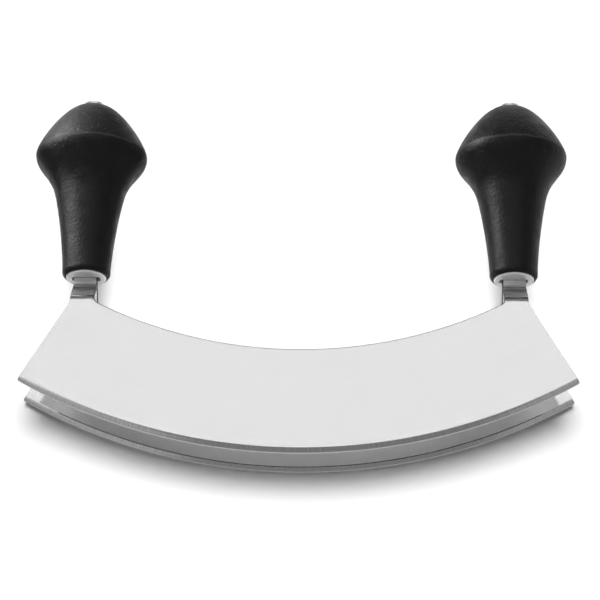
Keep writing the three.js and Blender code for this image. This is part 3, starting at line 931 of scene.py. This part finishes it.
def pitted_grain(tree, run, grain, cloud, dust):
    """The height of the surface in grain depths: the grain, less the pits where dust and cloud are high.

    Pits come in on the last millimetres of the way to the bulb's widest ring, from the least to the whole.
    """
    clustered = add_node(tree, "ShaderNodeMath", {
        0: cloud, 1: PIT_CLUSTER, 2: dust}, operation="MULTIPLY_ADD")
    dome = add_node(tree, "ShaderNodeMapRange", {
        "Value": run, "From Min": bulb_run - PIT_FADE, "From Max": bulb_run, "To Min": PIT_LEAST})
    pits = add_node(tree, "ShaderNodeMapRange", {
        "Value": clustered.outputs[0], "From Min": PIT_RIM, "From Max": PIT_FLOOR, "To Max": dome.outputs[0]})
    height = add_node(tree, "ShaderNodeMath", {
        0: pits.outputs[0], 1: -PIT_DEPTH, 2: grain}, operation="MULTIPLY_ADD")
    return height.outputs[0]


# The ring in this print is a painted highlight round the bulb
print("the rubbed ring is", 2 * HIGHLIGHT_RING_REACH, "mm wide, and pits come in", PIT_FADE, "mm below it")

# %% [markdown]
# ## Moulded black plastic
# The grips are a tough black plastic from a mould with a fine grain, so they are satin: black where they face
# the dark side of the studio and grey where they mirror a lamp at a glancing angle. Their gloss varies
# softly, as on plastic that is handled. Noise on Object coordinates gives all of that without any seam.
# The real grain is a few tenths of a millimetre wide. It is drawn several times as coarse so that it shows.

# %% Moulded black plastic
PLASTIC_DEEP = "#0F0F10"
PLASTIC_WORN = "#171718"
# The paler colour of the ring round the bulb: a painted highlight
PLASTIC_PAINTED_HIGHLIGHT = "#2E2E2D"
PLASTIC_SPECULAR = 0.125
GLOSSIEST = 0.34
DULLEST = 0.54
GRAIN_DEPTH = 0.18
# Each pattern's size in millimetres, and its number of finer layers
PATTERNS = {"grain": (1.3, 4.0), "cloud": (5.0, 4.0), "dust": (1.4, 1.0), "wave": (4.0, 3.0)}


def moulded_plastic():
    """Black plastic: soft clouds of colour and gloss, a ring of painted highlight, and grain and pits as
    bump.
    """
    material, tree = start_material("black_plastic_moulded")
    place = add_node(tree, "ShaderNodeTexCoord").outputs["Object"]
    chart = add_node(tree, "ShaderNodeUVMap", uv_map=CHART)
    run = add_node(tree, "ShaderNodeSeparateXYZ", {0: chart.outputs[0]}).outputs["Y"]
    noise = {}
    for name, (size, detail) in PATTERNS.items():
        noise[name] = add_node(tree, "ShaderNodeTexNoise", {
            "Vector": place, "Scale": 1 / (size * MILLIMETRE), "Detail": detail}).outputs[0]
    body = add_node(tree, "ShaderNodeMix", {
        "Factor": noise["cloud"], "A": linear(PLASTIC_DEEP), "B": linear(PLASTIC_WORN)}, data_type="RGBA")
    # The ring of painted highlight over the body's colour
    colour = add_node(tree, "ShaderNodeMix", {
        "Factor": painted_highlight_ring(tree, run, noise["wave"]), "A": body.outputs["Result"],
        "B": linear(PLASTIC_PAINTED_HIGHLIGHT)}, data_type="RGBA")
    roughness = add_node(tree, "ShaderNodeMapRange", {
        "Value": noise["cloud"], "From Min": NOISE_LOW, "From Max": NOISE_HIGH,
        "To Min": GLOSSIEST, "To Max": DULLEST})
    bump = add_node(tree, "ShaderNodeBump", {
        "Height": pitted_grain(tree, run, noise["grain"], noise["cloud"], noise["dust"]),
        "Strength": 1.0, "Distance": GRAIN_DEPTH * MILLIMETRE})
    shader = add_node(tree, "ShaderNodeBsdfPrincipled", {
        "Base Color": colour.outputs["Result"], "Roughness": roughness.outputs[0],
        "Specular IOR Level": PLASTIC_SPECULAR, "Normal": bump.outputs[0]})
    add_node(tree, "ShaderNodeOutputMaterial", {"Surface": shader.outputs[0]})
    return material


black_plastic = moulded_plastic()
print("plastic:", len(black_plastic.node_tree.nodes), "nodes")

# %% [markdown]
# ## Two grips
# Both handles are the same moulding, turned about their own axes. The steps of the seats inside are sharp,
# and the outside is smooth all the way, so one angle between them parts the two.
# The lamp at the left is there for the grips alone. It would whiten the straps and ferrules too, so light
# linking names the grips as the only pieces that receive it.

# %% Two grips
SIDES = (("left", -1), ("right", 1))
SEAT_ANGLE = math.radians(35)

rim_lit = bpy.data.collections.new("rim_lit")
for side, sign in SIDES:
    rings, chart = turned_rings(grip_section, sign)
    grip = skin(f"dressed_{side}_grip", rings, chart, True, [black_plastic], 0, SEAT_ANGLE)
    dress(grip, f"{side}_grip")
    rim_lit.objects.link(grip)
rim_light.light_linking.receiver_collection = rim_lit

# %% [markdown]
# ## Ferrules
# A steel ferrule closes the foot of each grip. It is a turned flange with a spigot, cut through by a slot for
# the two straps. A boolean would cut the slot but leave long thin faces. The slot can be a radius that
# depends on the angle instead, the one of a superellipse, which is nearly a rectangle for a large n:
# (|cos a / half length| ^ n + |sin a / half width| ^ n) ^ (-1 / n).
# Rings from that radius out to the rim and back over the spigot cover the ferrule all round. Turning left
# fine rings on it that scatter the light, so it is a soft silver.

# %% Ferrules
FERRULE_CHAMFER = 0.4
SLOT_END_CLEARANCE = 0.9
SLOT_LENGTH = STRAP_WIDTH + 2 * SLOT_END_CLEARANCE
SLOT_WIDTH = 2 * BLADE_THICKNESS + 3 * FIT_GAP
SLOT_SQUARENESS = 14
SLOT_BREAK = 0.15
FACE_RINGS = 6


def ferrule_rings(side):
    """The ferrule's section at each angle, from the slot over the face, rim and spigot back to the slot."""
    angle = np.linspace(0, 2 * math.pi, 2 * TURN_STEPS + 1)
    reach = np.abs(2 * np.cos(angle) / SLOT_LENGTH) ** SLOT_SQUARENESS
    reach = reach + np.abs(2 * np.sin(angle) / SLOT_WIDTH) ** SLOT_SQUARENESS
    slot = reach[:, None] ** (-1 / SLOT_SQUARENESS)
    rim = FERRULE_DIAMETER / 2
    face = np.linspace(0, 1, FACE_RINGS)
    radius = np.concatenate([
        slot,
        (1 - face) * (slot + SLOT_BREAK) + face * (rim - FERRULE_CHAMFER),
        np.broadcast_to([rim, rim, SPIGOT_RADIUS, SPIGOT_RADIUS], (len(angle), 4)),
        slot], 1)
    height = np.array([
        SLOT_BREAK - FERRULE_PROUD, *np.full(FACE_RINGS, -FERRULE_PROUD), FERRULE_CHAMFER - FERRULE_PROUD,
        FLANGE_TOP, FLANGE_TOP, SPIGOT_TOP, SPIGOT_TOP])
    x = side * handle_x + np.cos(angle)[:, None] * radius
    y = np.sin(angle)[:, None] * radius
    rings = np.stack([x, y, np.broadcast_to(grip_foot + height, x.shape)], -1)
    chart = np.stack([angle[:, None] * rim + 0 * radius, radius + height], -1)
    return rings[:-1], np.concatenate([chart, chart[:, :1]], 1)


turned_steel = lined_steel("stainless_turned", "#E8E8E8", "#F4F4F4", (30.0, 0.25, 1.0), (0.48, 0.6), 0.0015)
for side, sign in SIDES:
    rings, chart = ferrule_rings(sign)
    ferrule = skin(f"dressed_{side}_ferrule", rings, chart, True, [turned_steel], 0, CREASE_ANGLE)
    dress(ferrule, f"{side}_ferrule")

# %% [markdown]
# ## Crown caps
# A small domed washer of brushed steel sits on top of each knob, and the end of the rod inside is peened over
# in it. Its section is a rim and a parabola up to the hole, turned like the grip. The parabola is a
# quadratic Bezier curve with its middle point halfway between rim and hole, level with the hole.
# The hole is drawn close round the rod, as peening leaves it.

# %% Crown caps
CAP_RIM = 1.9
CAP_DOME = 0.8
PEENED_GAP = 0.03
CAP_STEPS = 14


def cap_profile():
    """The ring of (radius, height above the grip's foot): rim, dome, hole and underside."""
    rim, bore = CAP_DIAMETER / 2, SHANK_RADIUS + PEENED_GAP
    low, high = CAP_SEAT + CAP_RIM, CAP_SEAT + CAP_RIM + CAP_DOME
    t = np.linspace(0, 1, CAP_STEPS + 1)[:, None]
    dome = (1 - t) ** 2 * [rim, low] + 2 * t * (1 - t) * [(rim + bore) / 2, high] + t ** 2 * [bore, high]
    return np.concatenate([[[rim, CAP_SEAT]], dome, [[bore, CAP_SEAT]]])


cap_steel = lined_steel("stainless_cap_brushed", "#ECECEC", "#F6F6F6", (20.0, 0.3, 1.0), (0.28, 0.36), 0.0005)
for side, sign in SIDES:
    rings, chart = turned_rings(cap_profile(), sign)
    cap = skin(f"dressed_{side}_crown_cap", rings, chart, True, [cap_steel], 0, SEAT_ANGLE)
    dress(cap, f"{side}_crown_cap")

# %% [markdown]
# ## Rods and pins
# Inside each grip a slotted rod takes the two straps, and two pins go through all three. Only the peened end
# of the rod shows, in the middle of the cap, so these pieces could be left bare. They stay as they are in the
# model and get a drawn steel, for whoever takes the knife apart.
# They have no chart, so their drawing lines follow Object coordinates, long in Y, the rod's direction.

# %% Rods and pins
bar_steel = lined_steel(
    "stainless_bar_drawn", "#C4C4C3", "#DEDEDD", (0.3, 20.0, 0.3), (0.22, 0.34), 0.001, False)
for side, _ in SIDES:
    for inner in ("tang_rod", "lower_pin", "upper_pin"):
        node = frame["nodes"][f"{side}_{inner}"]
        node.data.materials.clear()
        node.data.materials.append(bar_steel)
print("rods and pins in", bar_steel.name)

# %% [markdown]
# The dressed knife has to be as big as the measured one. The most that it stands out of the model's box is
# printed.

new_low, new_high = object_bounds()
grown = max(max(cad_low - new_low), max(new_high - cad_high)) / MILLIMETRE
print("the dressed knife stands", round(grown, 2), "mm proud of the model")
